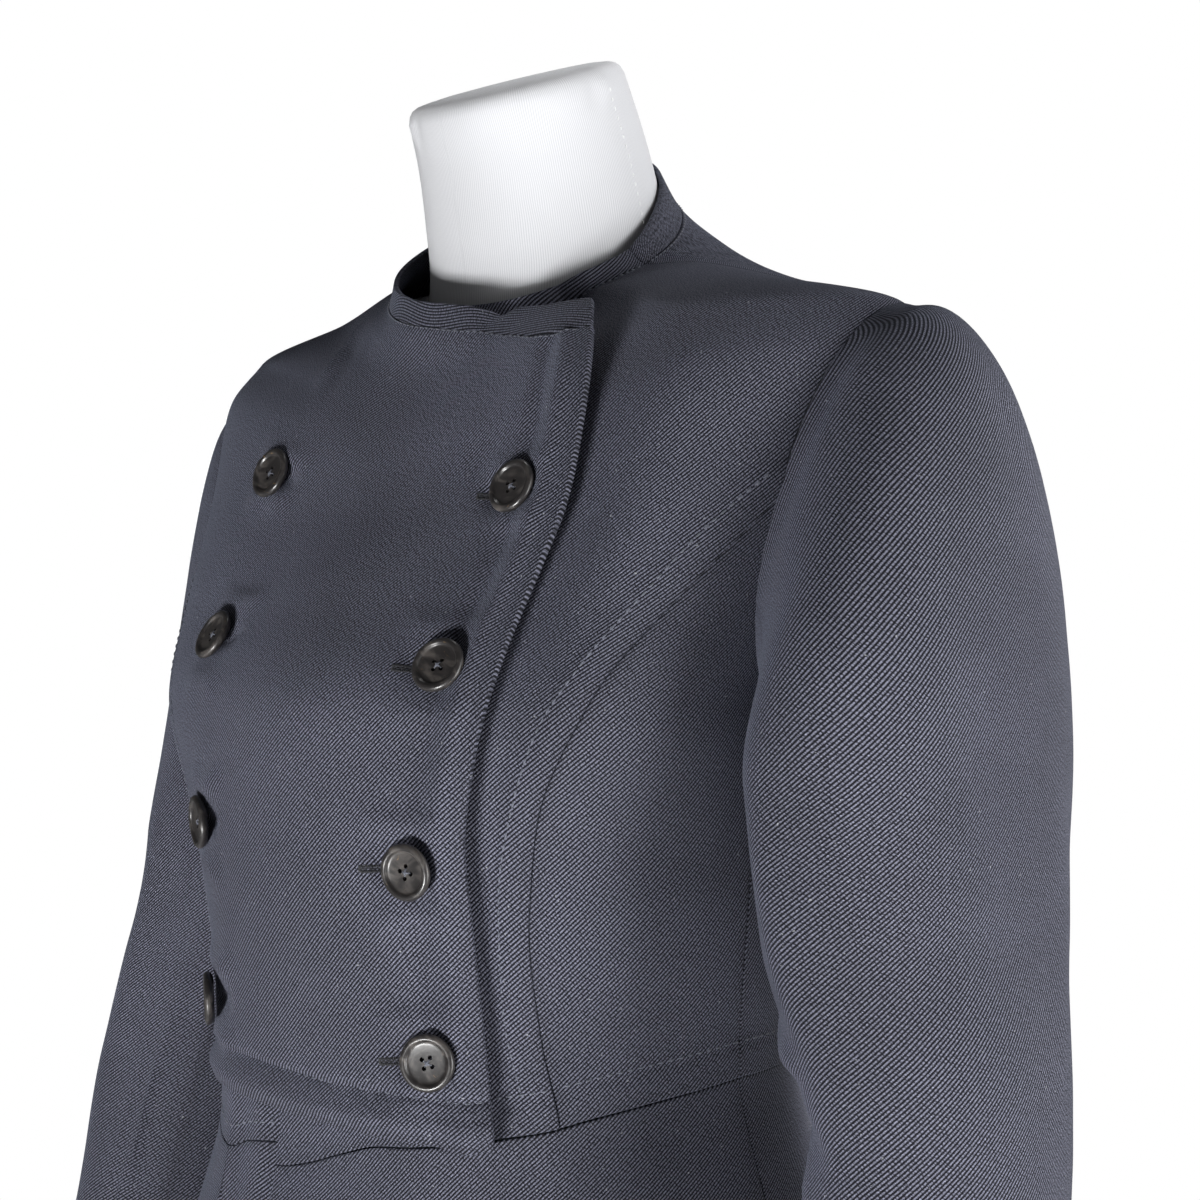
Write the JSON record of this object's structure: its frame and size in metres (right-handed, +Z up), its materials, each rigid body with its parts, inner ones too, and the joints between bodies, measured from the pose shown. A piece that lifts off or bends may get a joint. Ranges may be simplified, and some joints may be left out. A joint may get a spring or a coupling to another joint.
{
  "type": "coat on dress form",
  "caption": "Collarless double-breasted knee-length coat in dark wool twill with curved princess seams, a lapped bib front and a waist seam, on a limbless dress form with a pole and base.",
  "frame": {"origin": "on the flat underside of the round base, 20 mm behind the pole's axis, straight below the middle of the coat", "axes": "+Z up, -Y the way the coat faces, +X towards the wearer's left"},
  "size_m": [0.5673, 0.4728, 1.4857],
  "materials": {
    "gabardine": "dark charcoal wool gabardine with a steep diagonal twill",
    "horn": "polished dark horn with brown mottling",
    "jersey": "fine white cotton jersey stretched over a hard form",
    "stand": "satin light grey enamel"
  },
  "bodies": {
    "root": {"bib_front": "gabardine", "front_left": "gabardine", "front_right_under": "gabardine", "side_front_left": "gabardine", "side_front_right": "gabardine", "side_back_left": "gabardine", "side_back_right": "gabardine", "back_left": "gabardine", "back_right": "gabardine", "neckband_right": "gabardine", "neckband_back": "gabardine", "neckband_left": "gabardine", "skirt_front_left": "gabardine", "skirt_front_under": "gabardine", "skirt_front_right": "gabardine", "skirt_back_left": "gabardine", "skirt_back_right": "gabardine", "sleeve_top_left": "gabardine", "sleeve_under_left": "gabardine", "sleeve_top_right": "gabardine", "sleeve_under_right": "gabardine", "button_right_1": "horn", "button_right_2": "horn", "button_right_3": "horn", "button_right_4": "horn", "button_left_1": "horn", "button_left_2": "horn", "button_left_3": "horn", "button_left_4": "horn", "form_torso": "jersey", "form_pole": "stand", "form_socket": "stand", "form_base": "stand"}
  },
  "joints": []
}
